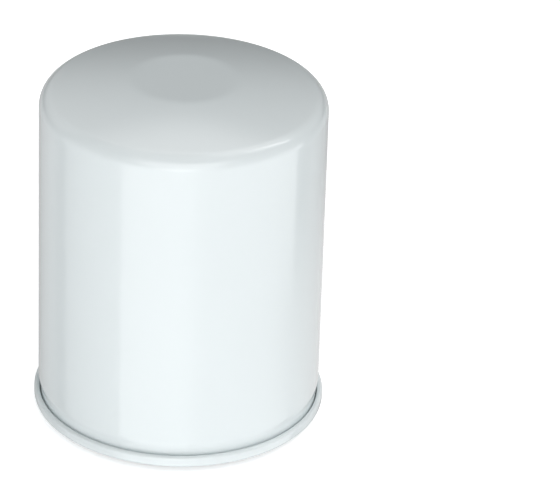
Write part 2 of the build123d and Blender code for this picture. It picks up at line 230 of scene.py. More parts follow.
def face_outwards(piece):
    """Turn every face's normal to the outside."""
    work = bmesh.new()
    work.from_mesh(piece.data)
    bmesh.ops.recalc_face_normals(work, faces=work.faces)
    work.to_mesh(piece.data)
    work.free()
    return piece


def turned(name, outline, *materials, closed=True, wave=None):
    """A turned piece. An open outline has both ends on the axis, and gets a point there."""
    angles = np.arange(AROUND) * 2 * math.pi / AROUND
    if closed:
        rows = turn_grid(outline, angles, wave)
        points = rows.reshape(-1, 3)
        faces = grid_faces(len(outline), AROUND, 0, True)
        return face_outwards(build(name, points, faces, *materials))
    inner = outline[1:-1]
    rows = turn_grid(inner, angles, wave)
    points = list(rows.reshape(-1, 3))
    faces = grid_faces(len(inner), AROUND, 0, False)
    for tip, row in ((outline[0], 0), (outline[-1], len(inner) - 1)):
        pole = len(points)
        points.append(np.array([0.0, 0.0, tip[1]]))
        base = row * AROUND
        faces += [(pole, base + j, base + (j + 1) % AROUND) for j in range(AROUND)]
    return face_outwards(build(name, points, faces, *materials))


# ---- material helpers ------------------------------------------------------------------------


def new_material(name, colour, roughness, metallic=0.0):
    """A Principled material, returned with its node tree and shader."""
    material = bpy.data.materials.new(name)
    material.use_nodes = True
    tree = material.node_tree
    shader = next(n for n in tree.nodes if n.type == "BSDF_PRINCIPLED")
    shader.inputs["Base Color"].default_value = (*colour, 1)
    shader.inputs["Roughness"].default_value = roughness
    shader.inputs["Metallic"].default_value = metallic
    return material, tree, shader


def coordinates(tree):
    """The piece's own coordinates, in metres."""
    return tree.nodes.new("ShaderNodeTexCoord").outputs["Object"]


def stretched(tree, scale):
    """The piece's coordinates scaled differently along each axis."""
    mapping = tree.nodes.new("ShaderNodeMapping")
    mapping.inputs["Scale"].default_value = scale
    tree.links.new(coordinates(tree), mapping.inputs["Vector"])
    return mapping.outputs["Vector"]


def noise(tree, vector, scale, detail=2.0, roughness=0.5):
    """A noise texture's value."""
    node = tree.nodes.new("ShaderNodeTexNoise")
    node.inputs["Scale"].default_value = scale
    node.inputs["Detail"].default_value = detail
    node.inputs["Roughness"].default_value = roughness
    tree.links.new(vector, node.inputs["Vector"])
    return node.outputs["Fac"]


def between(tree, value, low, high, from_low=0.3, from_high=0.7):
    """The value's range from_low..from_high mapped to low..high."""
    node = tree.nodes.new("ShaderNodeMapRange")
    node.inputs["From Min"].default_value = from_low
    node.inputs["From Max"].default_value = from_high
    node.inputs["To Min"].default_value = low
    node.inputs["To Max"].default_value = high
    tree.links.new(value, node.inputs["Value"])
    return node.outputs["Result"]


def mixed(tree, factor, a, b):
    """Two colours mixed by a factor."""
    node = tree.nodes.new("ShaderNodeMix")
    node.data_type = "RGBA"
    node.inputs["A"].default_value = (*a, 1)
    node.inputs["B"].default_value = (*b, 1)
    tree.links.new(factor, node.inputs["Factor"])
    return node.outputs["Result"]


def bump(tree, shader, height, distance, strength=1.0):
    """Relief on the shader's normal, with its real height in metres."""
    node = tree.nodes.new("ShaderNodeBump")
    node.inputs["Distance"].default_value = distance
    node.inputs["Strength"].default_value = strength
    tree.links.new(height, node.inputs["Height"])
    tree.links.new(node.outputs["Normal"], shader.inputs["Normal"])


def ring_coordinates(tree, radial, angular, axial):
    """Coordinates that run round the axis, for marks left by turning and pressing."""
    split = tree.nodes.new("ShaderNodeSeparateXYZ")
    tree.links.new(coordinates(tree), split.inputs[0])
    angle = tree.nodes.new("ShaderNodeMath")
    angle.operation = "ARCTAN2"
    tree.links.new(split.outputs["Y"], angle.inputs[0])
    tree.links.new(split.outputs["X"], angle.inputs[1])
    flat = tree.nodes.new("ShaderNodeCombineXYZ")
    tree.links.new(split.outputs["X"], flat.inputs["X"])
    tree.links.new(split.outputs["Y"], flat.inputs["Y"])
    length = tree.nodes.new("ShaderNodeVectorMath")
    length.operation = "LENGTH"
    tree.links.new(flat.outputs[0], length.inputs[0])
    joined = tree.nodes.new("ShaderNodeCombineXYZ")
    for source, name, factor in (
        (length.outputs["Value"], "X", radial),
        (angle.outputs[0], "Y", angular),
        (split.outputs["Z"], "Z", axial),
    ):
        scale = tree.nodes.new("ShaderNodeMath")
        scale.operation = "MULTIPLY"
        scale.inputs[1].default_value = factor
        tree.links.new(source, scale.inputs[0])
        tree.links.new(scale.outputs[0], joined.inputs[name])
    return joined.outputs[0]


# ---- materials -------------------------------------------------------------------------------


def white_enamel():
    """Glossy cool-white paint with a faint orange peel and a clear top film."""
    material, tree, shader = new_material("white_enamel", (0.8, 0.86, 0.87), 0.29)
    where = coordinates(tree)
    tone = between(tree, noise(tree, where, 40.0, 1.0), 0.0, 1.0, 0.2, 0.8)
    colour = mixed(tree, tone, (0.782, 0.842, 0.853), (0.792, 0.851, 0.863))
    tree.links.new(colour, shader.inputs["Base Color"])
    shader.inputs["Coat Weight"].default_value = 1.0
    shader.inputs["Coat Roughness"].default_value = 0.03
    bump(tree, shader, noise(tree, where, 700.0, 1.0), 0.000002)
    return material


def plated_steel():
    """Satin tin-plated sheet with fine marks that run round the axis."""
    material, tree, shader = new_material("plated_steel", (0.66, 0.65, 0.62), 0.42, 1.0)
    rings = ring_coordinates(tree, 5200.0, 6.0, 5200.0)
    marks = noise(tree, rings, 1.0, 3.0, 0.6)
    cloud = noise(tree, coordinates(tree), 90.0, 4.0)
    colour = mixed(tree, between(tree, cloud, 0.0, 1.0), (0.60, 0.595, 0.565), (0.71, 0.70, 0.675))
    tree.links.new(colour, shader.inputs["Base Color"])
    tree.links.new(between(tree, marks, 0.36, 0.52), shader.inputs["Roughness"])
    bump(tree, shader, marks, 0.000004)
    return material


def machined_steel():
    """Bright steel of the cut thread."""
    material, tree, shader = new_material("machined_steel", (0.62, 0.61, 0.59), 0.22, 1.0)
    rings = ring_coordinates(tree, 900.0, 2.0, 9000.0)
    marks = noise(tree, rings, 1.0, 2.0)
    tree.links.new(between(tree, marks, 0.14, 0.3), shader.inputs["Roughness"])
    tree.links.new(
        mixed(tree, between(tree, marks, 0.0, 1.0), (0.55, 0.54, 0.52), (0.68, 0.67, 0.65)),
        shader.inputs["Base Color"],
    )
    bump(tree, shader, marks, 0.000003)
    return material


def black_rubber(name, dust):
    """Matt moulded nitrile with a fine grain, pale dust and rubbed patches."""
    material, tree, shader = new_material(name, (0.03, 0.031, 0.032), 0.62)
    where = coordinates(tree)
    grain = noise(tree, where, 2600.0, 3.0, 0.6)
    patch = noise(tree, where, 140.0, 6.0, 0.7)
    specks = between(tree, noise(tree, where, 900.0, 5.0, 0.75), 0.0, dust, 0.56, 0.72)
    colour = mixed(tree, specks, (0.028, 0.029, 0.030), (0.20, 0.20, 0.19))
    tree.links.new(colour, shader.inputs["Base Color"])
    tree.links.new(between(tree, patch, 0.5, 0.72), shader.inputs["Roughness"])
    shader.inputs["Specular IOR Level"].default_value = 0.45
    bump(tree, shader, grain, 0.00002)
    return material


def filter_paper():
    """Resin-treated cellulose: warm, fibrous and matt."""
    material, tree, shader = new_material("filter_paper", (0.78, 0.62, 0.34), 0.85)
    fibre = noise(tree, stretched(tree, (1.0, 1.0, 0.25)), 2400.0, 6.0, 0.7)
    cloud = noise(tree, coordinates(tree), 220.0, 5.0)
    colour = mixed(tree, between(tree, cloud, 0.0, 1.0), (0.68, 0.50, 0.25), (0.83, 0.69, 0.42))
    tree.links.new(colour, shader.inputs["Base Color"])
    tree.links.new(between(tree, fibre, 0.78, 0.95), shader.inputs["Roughness"])
    bump(tree, shader, fibre, 0.00004)
    return material


def plain_metal(name, dark, light, rough_low, rough_high):
    """Unpainted sheet or wire with soft rolling marks."""
    material, tree, shader = new_material(name, light, rough_low, 1.0)
    where = coordinates(tree)
    tone = noise(tree, where, 420.0, 5.0, 0.65)
    colour = mixed(tree, between(tree, tone, 0.0, 1.0), dark, light)
    tree.links.new(colour, shader.inputs["Base Color"])
    fine = noise(tree, stretched(tree, (1.0, 1.0, 6.0)), 1500.0, 3.0)
    tree.links.new(between(tree, fine, rough_low, rough_high), shader.inputs["Roughness"])
    bump(tree, shader, fine, 0.000005)
    return material


def moulded(name, dark, light, roughness):
    """Matt set adhesive, sealing compound or moulded nylon, slightly uneven."""
    material, tree, shader = new_material(name, light, roughness)
    where = coordinates(tree)
    tone = noise(tree, where, 260.0, 4.0)
    colour = mixed(tree, between(tree, tone, 0.0, 1.0), dark, light)
    tree.links.new(colour, shader.inputs["Base Color"])
    gloss = between(tree, tone, roughness - 0.08, roughness + 0.08)
    tree.links.new(gloss, shader.inputs["Roughness"])
    bump(tree, shader, noise(tree, where, 1100.0, 3.0), 0.00003)
    return material


ENAMEL = white_enamel()
PLATED = plated_steel()
MACHINED = machined_steel()
GASKET_RUBBER = black_rubber("gasket_rubber", 0.22)
VALVE_RUBBER = black_rubber("valve_rubber", 0.1)
PAPER = filter_paper()
LACQUER = moulded("can_lacquer", (0.62, 0.55, 0.38), (0.66, 0.59, 0.42), 0.35)
CAP_STEEL = plain_metal("cap_steel", (0.50, 0.51, 0.51), (0.66, 0.67, 0.67), 0.28, 0.42)
SPRING_STEEL = plain_metal("spring_steel", (0.16, 0.165, 0.18), (0.27, 0.275, 0.30), 0.25, 0.4)
WIRE_STEEL = plain_metal("wire_steel", (0.36, 0.36, 0.36), (0.52, 0.52, 0.51), 0.2, 0.34)
POTTING = moulded("potting_compound", (0.33, 0.12, 0.075), (0.42, 0.17, 0.11), 0.6)
SEALANT = moulded("seam_compound", (0.09, 0.08, 0.07), (0.14, 0.12, 0.11), 0.7)
NYLON = moulded("poppet_nylon", (0.03, 0.03, 0.032), (0.05, 0.05, 0.053), 0.5)


# ---- can -------------------------------------------------------------------------------------

CROWN_DISC_R = 14.1
CROWN_DISC_BEND = 20.0
CROWN_START_SLOPE = math.radians(7.8)
CROWN_END_SLOPE = math.radians(14.0)
SHOULDER_BEND = 4.5
CROWN_DISC_STEPS = 8
CROWN_ARC_STEPS = (10, 20, 24)
NECK_STEPS = 6
WALL_STEP = 3.0
FOOT_STEP = 1.0
HOOK_STEPS = 12


def can_line(inset):
    """The can's outer line from the axis to the fold, or one that runs inside it."""
    start_sine = math.sin(CROWN_START_SLOPE)
    end_sine = math.sin(CROWN_END_SLOPE)
    half_bend = CROWN_DISC_BEND * start_sine / 2
    shoulder_r = CAN_R - SHOULDER_BEND * (1 - end_sine)
    cone_bend = (shoulder_r - CROWN_DISC_R - half_bend) / (end_sine - start_sine)
    neck_turn = 2 * math.atan(NECK / NECK_HEIGHT)
    neck_bend = NECK_HEIGHT / (2 * math.sin(neck_turn))
    line = [
        Vector(((CROWN_DISC_R - half_bend) * k / CROWN_DISC_STEPS, CAN_TOP_Z - inset))
        for k in range(CROWN_DISC_STEPS + 1)
    ]
    heading = Vector((1.0, 0.0))
    crown = (
        (CROWN_DISC_BEND - inset, -CROWN_START_SLOPE),
        (cone_bend - inset, CROWN_START_SLOPE - CROWN_END_SLOPE),
        (SHOULDER_BEND - inset, CROWN_END_SLOPE - math.pi / 2),
    )
    for (radius, turn), count in zip(crown, CROWN_ARC_STEPS):
        line += arc(line[-1], heading, radius, turn, count)
        heading = turned_by(heading, turn)
    neck = Vector((CAN_R - inset, NECK_TOP_Z))
    line = line[:-1] + with_long_runs_split([line[-1], neck], WALL_STEP)
    for radius, turn in ((neck_bend - inset, -neck_turn), (neck_bend + inset, neck_turn)):
        line += arc(line[-1], heading, radius, turn, NECK_STEPS)
        heading = turned_by(heading, turn)
    foot = Vector((FOOT_R - inset, FOLD_Z))
    return line[:-1] + with_long_runs_split([line[-1], foot], FOOT_STEP)


def make_can():
    """The drawn shell, with real sheet thickness and the hook rolled into the seam."""
    down = Vector((0.0, -1.0))
    outside = can_line(0.0)
    outside += arc(outside[-1], down, FOLD_WIDTH / 2, math.pi, HOOK_STEPS)
    inside = can_line(CAN_SHEET)
    inside += arc(inside[-1], down, FOLD_WIDTH / 2 + CAN_SHEET, math.pi, HOOK_STEPS)
    tip_z = SEAM_TOP_Z - 2 * LID_SHEET
    tip = [Vector((HOOK_INNER_R, tip_z)), Vector((HOOK_OUTER_R, tip_z))]
    can = turned("can_body", outside + tip + inside[::-1], ENAMEL, LACQUER, closed=False)
    for k, face in enumerate(can.data.polygons):
        row = k // AROUND
        face.material_index = int(len(outside) <= row < len(outside) + len(inside))
    poles = [f for f in can.data.polygons if len(f.vertices) == 3]
    for face in poles:
        face.material_index = int(face.center.z < (CAN_TOP_Z - CAN_SHEET / 2) * MM)
    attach(can, "filter_body")
    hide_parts("can_shell")


# ---- seam lid --------------------------------------------------------------------------------

GASKET_CLEARANCE = 0.1
LID_CREST_Z = 0.9
LID_CREST_R = 28.3
LID_WELL = ((27.3, 5.6), (26.1, 6.5), (25.0, 9.35), (23.9, 9.45))
LID_INNER_BENDS = (0.6, 0.5, 0.9, 0.9, 0.6, 0.6, 0.7)
LID_STEP = 0.8
FULL_BEND_SLACK = 0.001
# Height in millimetres, waves round the seam, and shift in radians. The inset keeps the ripple
# inside the CAD's radius.
SEAM_RIPPLES = ((0.012, 7, 0.6), (0.008, 17, 2.1))
SEAM_RIPPLE_INSET = 0.02


def lid_line():
    """Centre line of the lid's sheet, from the cover hook to the inner edge of the well."""
    half = LID_SHEET / 2
    hook_r = FOOT_R + FOLD_WIDTH / 2
    top_z = SEAM_TOP_Z - half
    bottom_z = SEAM_BOTTOM_Z + half
    floor_z = GASKET_TOP_Z + half
    inner_wall_r = GASKET_R - GASKET_WIDTH - GASKET_CLEARANCE - half
    crest_z = LID_CREST_Z + half
    route = [
        (hook_r, FOLD_Z),
        (hook_r, top_z),
        (SEAM_WALL_R, top_z),
        (SEAM_WALL_R, bottom_z),
        (CHUCK_WALL_R, bottom_z),
        (CHUCK_WALL_R, floor_z),
        (inner_wall_r, floor_z),
        (inner_wall_r, crest_z),
        (LID_CREST_R, crest_z),
        *LID_WELL,
    ]
    hook_bend = (SEAM_WALL_R - hook_r) / 2 - FULL_BEND_SLACK
    seam_bend = SEAM_BEND - FULL_BEND_SLACK
    bends = [hook_bend, hook_bend, seam_bend, seam_bend, *LID_INNER_BENDS]
    return with_long_runs_split(route_with_bends(route, bends), LID_STEP)


def roller_marks(r, z, angles):
    """Very slight flats and ripples that the seaming rollers leave on the seam's outside."""
    ripple = sum(high * np.sin(waves * angles + shift) for high, waves, shift in SEAM_RIPPLES)
    return np.where((r > HOOK_OUTER_R) & (z < SEAM_TOP_Z), r + ripple - SEAM_RIPPLE_INSET, r)


def make_lid():
    """Seam, gasket channel and well wall: painted outside the gasket, plated inside it."""
    outline = sheet_outline(lid_line(), LID_SHEET)
    lid = turned("retainer_lid", outline, ENAMEL, PLATED, wave=roller_marks)
    for face in lid.data.polygons:
        centre = face.center
        face.material_index = int(math.hypot(centre.x, centre.y) < (CHUCK_WALL_R - LID_SHEET) * MM)
    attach(lid, "filter_body")
    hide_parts("seam_lid")


# ---- gasket ----------------------------------------------------------------------------------


def rounded_section(corners, bends, longest):
    """Closed outline of a solid section, with each corner rounded."""
    middle = (Vector(corners[-1]) + Vector(corners[0])) / 2
    route = [middle] + [Vector(c) for c in corners] + [middle]
    return with_long_runs_split(route_with_bends(route, bends, step=15.0), longest)[:-1]


def make_gasket():
    """Moulded ring with rounded edges."""
    inner = GASKET_R - GASKET_WIDTH
    corners = [(inner, 0.0), (GASKET_R, 0.0), (GASKET_R, GASKET_TOP_Z), (inner, GASKET_TOP_Z)]
    outline = rounded_section(corners, [GASKET_EDGE] * 4, GASKET_STEP)
    gasket = turned("gasket_ring", outline, GASKET_RUBBER)
    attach(gasket, "filter_body")
    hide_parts("sealing_gasket")


# ---- base plate ------------------------------------------------------------------------------

PLATE_AROUND = 192
HOLE_BAND_R = (14.3, 22.1)
HOLE_EDGE = 0.35
HOLE_SIDE_STEPS = 12
HOLE_EDGE_STEPS = 4
HOLE_RING_SPACING = (1.0, 0.8, 0.6, 0.42, 0.26, 0.13, 0.04)
HOLE_WALL_SHARES = (0.33, 0.67)
PLATE_FLANGE_R = 31.5
PLATE_CROWN_OUTER_R = 27.0
PLATE_CROWN_INNER_R = 24.0
PLATE_WELL_R = 16.2
PLATE_WELL_RISE = 0.5
PLATE_BENDS = (2.0, 2.0, 2.2, 4.0)
PLATE_STEP = 0.7
CUT_MARGIN = 0.05
RIM_EDGE = 0.4
BORE_TOP_EDGE = 0.4
MOUTH_LEAD = ((12.9, 0.42), (12.3, 0.08), (11.7, 0.0))
MOUTH_STEPS = 8
MOUTH_OUTER_R = 13.5
COLLAR_EDGE = ((0.5, 0.0), (0.15, 0.15), (0.0, 0.5))
COLLAR_FILLET = 0.8
COLLAR_FILLET_GAP = 0.05
COLLAR_FILLET_STEPS = 6
COLLAR_STEP = 1.0
THREAD_ROWS_PER_PITCH = 16
THREAD_FADE = 0.9
THREAD_TOP_MARGIN = 0.4
# Shares of the pitch: from the middle of the groove to the flank's end, and the flank itself.
THREAD_FLANK_END = 0.375
THREAD_FLANK = 0.3125
WELD_DISTANCE = 0.00002


def plate_faces():
    """Underside and upper side of the pressed plate, from its rim to the collar."""
    half = PLATE_SHEET / 2
    flange_z = GASKET_TOP_Z + LID_SHEET + half
    middle_z = BORE_MOUTH_Z + PLATE_WELL_RISE + half
    route = [
        (PLATE_R, flange_z),
        (PLATE_FLANGE_R, flange_z),
        (PLATE_CROWN_OUTER_R, PLATE_TOP_Z - half),
        (PLATE_CROWN_INNER_R, PLATE_TOP_Z - half),
        (PLATE_WELL_R, middle_z),
        (COLLAR_R - half, middle_z),
    ]
    line = with_long_runs_split(route_with_bends(route, PLATE_BENDS), PLATE_STEP)
    return shifted(line, half), shifted(line, -half)


def height_at(side, r):
    """Height of one side of the plate at some radii."""
    points = sorted((p.x, p.y) for p in side)
    return np.interp(r, [p[0] for p in points], [p[1] for p in points])


def cut_at(side, r_low, r_high):
    """The side's points between two radii, with exact points at both."""
    ends = [Vector((r, float(height_at(side, r)))) for r in (r_high, r_low)]
    inside = [p for p in side if r_low + CUT_MARGIN < p.x < r_high - CUT_MARGIN]
    return [ends[0]] + inside + [ends[1]]


def thread_cut(rows, angles):
    """Radius of the bore with its right-hand thread, for each height and angle."""
    low = BORE_MOUTH_Z + BORE_MOUTH_ROUND
    phase = (rows / THREAD_PITCH - angles / (2 * math.pi)) % 1.0
    from_root = np.abs(phase - 0.5)
    depth = np.clip((THREAD_FLANK_END - from_root) / THREAD_FLANK, 0.0, 1.0) * THREAD_DEPTH
    start = np.clip((rows - low) / THREAD_FADE, 0.0, 1.0)
    finish = np.clip((COLLAR_TOP_Z - THREAD_TOP_MARGIN - rows) / THREAD_FADE, 0.0, 1.0)
    return BORE_R + depth * start * finish


def lathe_strip(line, angles):
    """Points and faces of an open strip turned about the axis."""
    rows = turn_grid(line, angles)
    return rows, grid_faces(len(line), len(angles), 0, False)


def hole_sector(under, over, angle):
    """One oil hole with the plate round it, as rings between the hole and the sector's edge."""
    r_low, r_high = HOLE_BAND_R
    across = PLATE_AROUND // OIL_HOLES
    half_turn = math.pi / OIL_HOLES
    spread = [half_turn * (2 * k / across - 1) for k in range(across + 1)]
    steps = HOLE_SIDE_STEPS
    side = [r_low + (r_high - r_low) * k / steps for k in range(1, steps)]
    edge = [(r_high, a) for a in spread] + [(r, half_turn) for r in side[::-1]]
    edge += [(r_low, a) for a in spread[::-1]] + [(r, -half_turn) for r in side]
    border = np.array([(r * math.cos(a), r * math.sin(a)) for r, a in edge])
    centre = np.array((OIL_HOLE_CIRCLE_R, 0.0))
    arm = border - centre
    reach = np.hypot(arm[:, 0], arm[:, 1])[:, None]
    outward = arm / reach
    rings = []

    def ring(distance, height_of, lift):
        place = centre + outward * distance
        heights = height_of(np.hypot(place[:, 0], place[:, 1])) + lift
        rings.append(np.column_stack((place, heights)))

    edge_turns = [math.pi / 2 * k / HOLE_EDGE_STEPS for k in range(HOLE_EDGE_STEPS + 1)]
    near = OIL_HOLE_R + HOLE_EDGE
    for face, inwards in ((under, 1), (over, -1)):
        shape = [("flat", t) for t in HOLE_RING_SPACING] + [("edge", a) for a in edge_turns]
        for kind, value in shape if inwards > 0 else shape[::-1]:
            def surface(r, face=face):
                return height_at(face, r)
            if kind == "flat":
                ring(near + (reach - near) * value, surface, 0.0)
            else:
                drop = HOLE_EDGE * (1 - math.cos(value)) * inwards
                ring(near - HOLE_EDGE * math.sin(value), surface, drop)
        if inwards > 0:
            for share in HOLE_WALL_SHARES:
                def wall(r, t=share):
                    return height_at(under, r) * (1 - t) + height_at(over, r) * t
                ring(OIL_HOLE_R, wall, 0.0)
    grid = np.array(rings)
    cos_a, sin_a = math.cos(angle), math.sin(angle)
    turned_grid = grid.copy()
    turned_grid[..., 0] = grid[..., 0] * cos_a - grid[..., 1] * sin_a
    turned_grid[..., 1] = grid[..., 0] * sin_a + grid[..., 1] * cos_a
    return turned_grid, grid_faces(len(rings), len(edge), 0, False)


def make_plate():
    """Pressed plate with eight oil holes and a collar with a real internal thread."""
    under, over = plate_faces()
    r_low, r_high = HOLE_BAND_R
    angles = (np.arange(PLATE_AROUND) - PLATE_AROUND / OIL_HOLES / 2) * 2 * math.pi / PLATE_AROUND
    parts = []
    rim_low, rim_high = under[0], over[0]
    rim_route = [under[1], rim_low, rim_high, over[1]]
    rim = route_with_bends(rim_route, [RIM_EDGE, RIM_EDGE], step=20.0)[1:-1]
    outer_under = cut_at(under, r_high, PLATE_R - RIM_EDGE)[::-1]
    outer_over = cut_at(over, r_high, PLATE_R - RIM_EDGE)
    outer = without_repeats(outer_under + rim + outer_over, closest=0.01)
    parts.append(lathe_strip(outer, angles))
    mouth_r = BORE_R + BORE_MOUTH_ROUND
    mouth = [Vector((r, BORE_MOUTH_Z + lift)) for r, lift in MOUTH_LEAD]
    mouth_centre = Vector((mouth_r, BORE_MOUTH_Z + BORE_MOUTH_ROUND))
    for k in range(MOUTH_STEPS + 1):
        turn = math.pi / 2 * k / MOUTH_STEPS
        mouth.append(mouth_centre - Vector((math.sin(turn), math.cos(turn))) * BORE_MOUTH_ROUND)
    inner_under = cut_at(under, MOUTH_OUTER_R, r_low) + mouth
    collar = [Vector((BORE_R + BORE_TOP_EDGE, COLLAR_TOP_Z))]
    collar += [Vector((COLLAR_R - inwards, COLLAR_TOP_Z - drop)) for inwards, drop in COLLAR_EDGE]
    root_z = float(height_at(over, COLLAR_R + COLLAR_FILLET))
    collar.append(Vector((COLLAR_R, root_z + COLLAR_FILLET)))
    collar = with_long_runs_split(collar, COLLAR_STEP)
    down = Vector((0.0, -1.0))
    fillet = arc(collar[-1], down, COLLAR_FILLET, math.pi / 2, COLLAR_FILLET_STEPS)
    fillet_r = COLLAR_R + (COLLAR_FILLET + COLLAR_FILLET_GAP)
    inner_over = fillet + cut_at(over, fillet_r, r_low)[::-1]
    parts.append(lathe_strip(inner_under, angles))
    parts.append(lathe_strip(collar + inner_over, angles))
    low = BORE_MOUTH_Z + BORE_MOUTH_ROUND
    high = COLLAR_TOP_Z - BORE_TOP_EDGE
    count = round((high - low) / THREAD_PITCH * THREAD_ROWS_PER_PITCH)
    heights = np.linspace(low, high, count + 1)[:, None]
    radii = thread_cut(heights, angles[None, :])
    bore = np.stack((
        radii * np.cos(angles), radii * np.sin(angles), np.broadcast_to(heights, radii.shape),
    ), axis=2)
    lead_out = turn_grid([Vector((BORE_R + BORE_TOP_EDGE, COLLAR_TOP_Z))], angles)
    bore = np.concatenate((bore, lead_out))
    bore_at = len(parts)
    parts.append((bore, grid_faces(len(bore), PLATE_AROUND, 0, False)))
    for k in range(OIL_HOLES):
        parts.append(hole_sector(under, over, 2 * math.pi * k / OIL_HOLES))
    points, faces, polished = [], [], []
    for k, (grid, own_faces) in enumerate(parts):
        first = sum(len(p) for p in points)
        points.append(grid.reshape(-1, 3))
        faces += [tuple(first + i for i in face) for face in own_faces]
        polished += [int(k == bore_at)] * len(own_faces)
    plate = build("pressed_plate", np.concatenate(points), faces, PLATED, MACHINED)
    for face, index in zip(plate.data.polygons, polished):
        face.material_index = index
    weld(plate)
    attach(plate, "filter_body")
    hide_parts("base_plate")


def weld(piece):
    """Join points that coincide, and turn every face outwards."""
    work = bmesh.new()
    work.from_mesh(piece.data)
    bmesh.ops.remove_doubles(work, verts=work.verts, dist=WELD_DISTANCE)
    bmesh.ops.recalc_face_normals(work, faces=work.faces)
    work.to_mesh(piece.data)
    work.free()
    piece.data.shade_smooth()


# ---- anti-drain valve ------------------------------------------------------------------------

VALVE_GRIP_GAP = 0.05
VALVE_NECK_R = 14.3
VALVE_NECK_DEPTH = 2.2
VALVE_MOUTH_GAP = 0.9
VALVE_LEDGE_GAP = 0.02
VALVE_NECK_BENDS = (0.4, 0.4, 0.4, 0.4, 0.4, 0.05)
SKIRT_DROP = 1.4
SKIRT_OVERLAP = 0.3
SKIRT_BEND_R = 17.0
LIP_INNER_R = 24.0
LIP_OUTER_R = 26.4
SKIRT_BENDS = (3.0, 3.0)
RUBBER_STEP = 0.6


def make_anti_drain_valve():
    """Rubber neck that stays on the collar, and a skirt whose lip rests on the plate."""
    inner_r = COLLAR_R + VALVE_GRIP_GAP
    mouth_r = BORE_R + VALVE_MOUTH_GAP
    foot_z = COLLAR_TOP_Z - VALVE_NECK_DEPTH
    ledge_z = COLLAR_TOP_Z + VALVE_LEDGE_GAP
    corners = [
        (inner_r, foot_z),
        (VALVE_NECK_R, foot_z),
        (VALVE_NECK_R, VALVE_TOP_Z),
        (mouth_r, VALVE_TOP_Z),
        (mouth_r, ledge_z),
        (inner_r, ledge_z),
    ]
    section = rounded_section(corners, VALVE_NECK_BENDS, RUBBER_STEP)
    neck = turned("valve_neck", section, VALVE_RUBBER)
    shoulder_z = VALVE_TOP_Z - SKIRT_DROP
    lip_z = PLATE_TOP_Z + VALVE_SKIRT / 2
    route = [
        (VALVE_NECK_R - SKIRT_OVERLAP, shoulder_z),
        (SKIRT_BEND_R, shoulder_z),
        (LIP_INNER_R, lip_z),
        (LIP_OUTER_R, lip_z),
    ]
    line = with_long_runs_split(route_with_bends(route, SKIRT_BENDS), RUBBER_STEP)
    skirt = turned("valve_skirt", sheet_outline(line, VALVE_SKIRT), VALVE_RUBBER)
    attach(neck, "filter_body")
    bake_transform(skirt)
    for piece in (neck, skirt):
        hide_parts("anti_drain_valve")


# ---- bypass spring ---------------------------------------------------------------------------

COIL_R = 6.2
COIL_WIRE_R = 0.5
COIL_OPEN_TURNS = 4.5
COIL_CLOSED_TURNS = 1.0
COIL_STEPS = 40
WIRE_SIDES = 14
COIL_GAP = 0.02
POPPET_BOSS_HEIGHT = 0.9
POPPET_DISC_HEIGHT = 1.1
CLOSED_TURN_PITCH = 2.04
SMOOTH_REACH = 6
# Steps of the rounded wire end, from its tip: how far out, and how much of the wire's radius.
WIRE_END = ((0.5, 0.3), (0.42, 0.62), (0.22, 0.88))


def make_bypass_spring():
    """Round wire coil whose end turns are closed, with its ends rounded over."""
    low = node_heights("bypass_retainer")[1] + COIL_WIRE_R + COIL_GAP
    high = node_heights("bypass_poppet")[1] - POPPET_BOSS_HEIGHT - POPPET_DISC_HEIGHT
    high = high - COIL_WIRE_R - COIL_GAP
    closed_rise = COIL_CLOSED_TURNS * COIL_WIRE_R * CLOSED_TURN_PITCH
    turns = COIL_OPEN_TURNS + 2 * COIL_CLOSED_TURNS
    stations = [0.0, COIL_CLOSED_TURNS, COIL_CLOSED_TURNS + COIL_OPEN_TURNS, turns]
    levels = [low, low + closed_rise, high - closed_rise, high]
    count = round(turns * COIL_STEPS)
    at = np.linspace(0.0, turns, count + 1)
    rise = np.interp(at, stations, levels)
    window = 2 * SMOOTH_REACH + 1
    padded = np.pad(rise, SMOOTH_REACH, mode="edge")
    smooth = np.convolve(padded, np.ones(window) / window, mode="valid")
    centres = np.stack((
        COIL_R * np.cos(2 * math.pi * at), COIL_R * np.sin(2 * math.pi * at), smooth,
    ), axis=1)
    rows = []
    last = len(centres) - 1
    for k, centre in enumerate(centres):
        along = centres[min(k + 1, last)] - centres[max(k - 1, 0)]
        along /= np.linalg.norm(along)
        out = np.array((centre[0], centre[1], 0.0)) / COIL_R
        across = np.cross(along, out)
        across /= np.linalg.norm(across)
        out = np.cross(across, along)
        caps = [(0.0, 1.0)]
        if k == 0:
            caps = [(-shift, share) for shift, share in WIRE_END] + caps
        if k == last:
            caps = caps + list(WIRE_END[::-1])
        for shift, share in caps:
            spin = np.arange(WIRE_SIDES)[:, None] * 2 * math.pi / WIRE_SIDES
            circle = (np.cos(spin) * out + np.sin(spin) * across) * COIL_WIRE_R * share
            rows.append(centre + along * shift * COIL_WIRE_R + circle)
    points = np.concatenate(rows)
    faces = grid_faces(len(rows), WIRE_SIDES, 0, False)
    end = (len(rows) - 1) * WIRE_SIDES
    faces += [tuple(range(WIRE_SIDES)), tuple(end + k for k in range(WIRE_SIDES))]
    spring = face_outwards(build("bypass_coil", points, faces, WIRE_STEEL))
    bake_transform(spring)
    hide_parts("bypass_spring")


# ---- pleated media ---------------------------------------------------------------------------

PLEATS = 54
PLEAT_INNER_R = 16.6
PLEAT_OUTER_R = 32.4
PLEAT_TIP_WIDTH = 1.5
PAPER_SHEET = 0.5
MEDIA_ROWS = 20
PLEAT_BENDS = (0.4, 0.7, 0.7, 0.4)
PLEAT_STEP = 3.0
PLEAT_SEED = 7
PLEAT_SWING = 0.0022
PLEAT_SWING_LIMIT = 2.0


